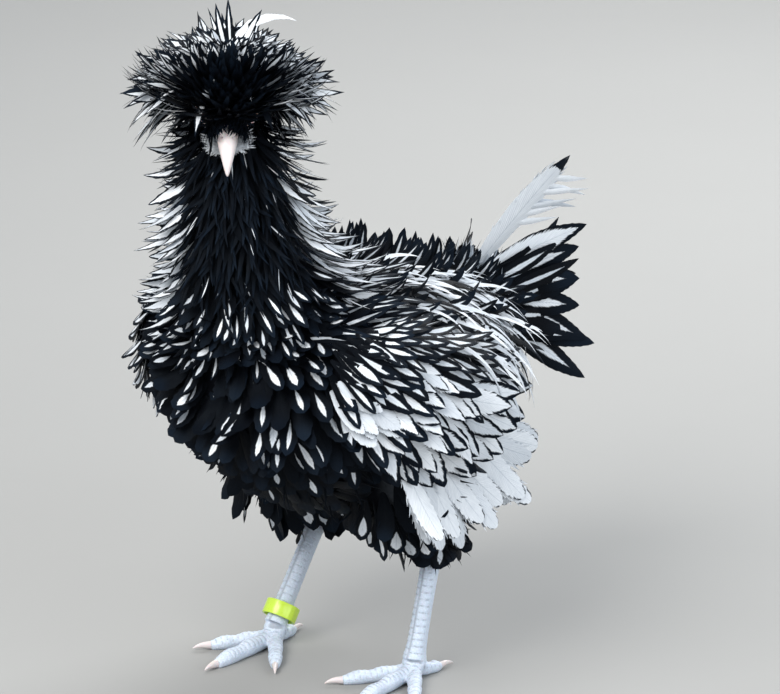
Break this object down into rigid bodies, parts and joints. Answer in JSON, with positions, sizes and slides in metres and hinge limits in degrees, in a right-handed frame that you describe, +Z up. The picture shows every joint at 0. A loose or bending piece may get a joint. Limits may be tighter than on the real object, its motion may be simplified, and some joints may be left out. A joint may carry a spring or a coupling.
{
  "type": "polish crested chicken",
  "caption": "Standing Polish hen with curled silver-laced feathers, a full globe crest, a black beard and muffs, pale blue legs and a plastic leg ring.",
  "frame": {"origin": "on the floor, under the middle of the bird's box", "axes": "+Z up, the body faces -Y, the bird's left side is +X"},
  "size_m": [0.2324, 0.3936, 0.4515],
  "materials": {
    "laced_feathers": "satin",
    "horn": "satin",
    "leg_scales": "satin",
    "eye": "gloss",
    "ring_plastic": "gloss"
  },
  "bodies": {
    "root": {"beak_lower": "horn", "beak_upper": "horn", "claw_left_hind": "horn", "claw_left_inner": "horn", "claw_left_middle": "horn", "claw_left_outer": "horn", "claw_right_hind": "horn", "claw_right_inner": "horn", "claw_right_middle": "horn", "claw_right_outer": "horn", "crest": "laced_feathers", "eye_left": "eye", "eye_right": "eye", "foot_left": "leg_scales", "foot_right": "leg_scales", "head": "laced_feathers", "leg_ring": "ring_plastic", "neck": "laced_feathers", "shank_left": "leg_scales", "shank_right": "leg_scales", "tail": "laced_feathers", "thigh_left": "laced_feathers", "thigh_right": "laced_feathers", "torso": "laced_feathers", "wing_left": "laced_feathers", "wing_right": "laced_feathers"}
  },
  "joints": []
}
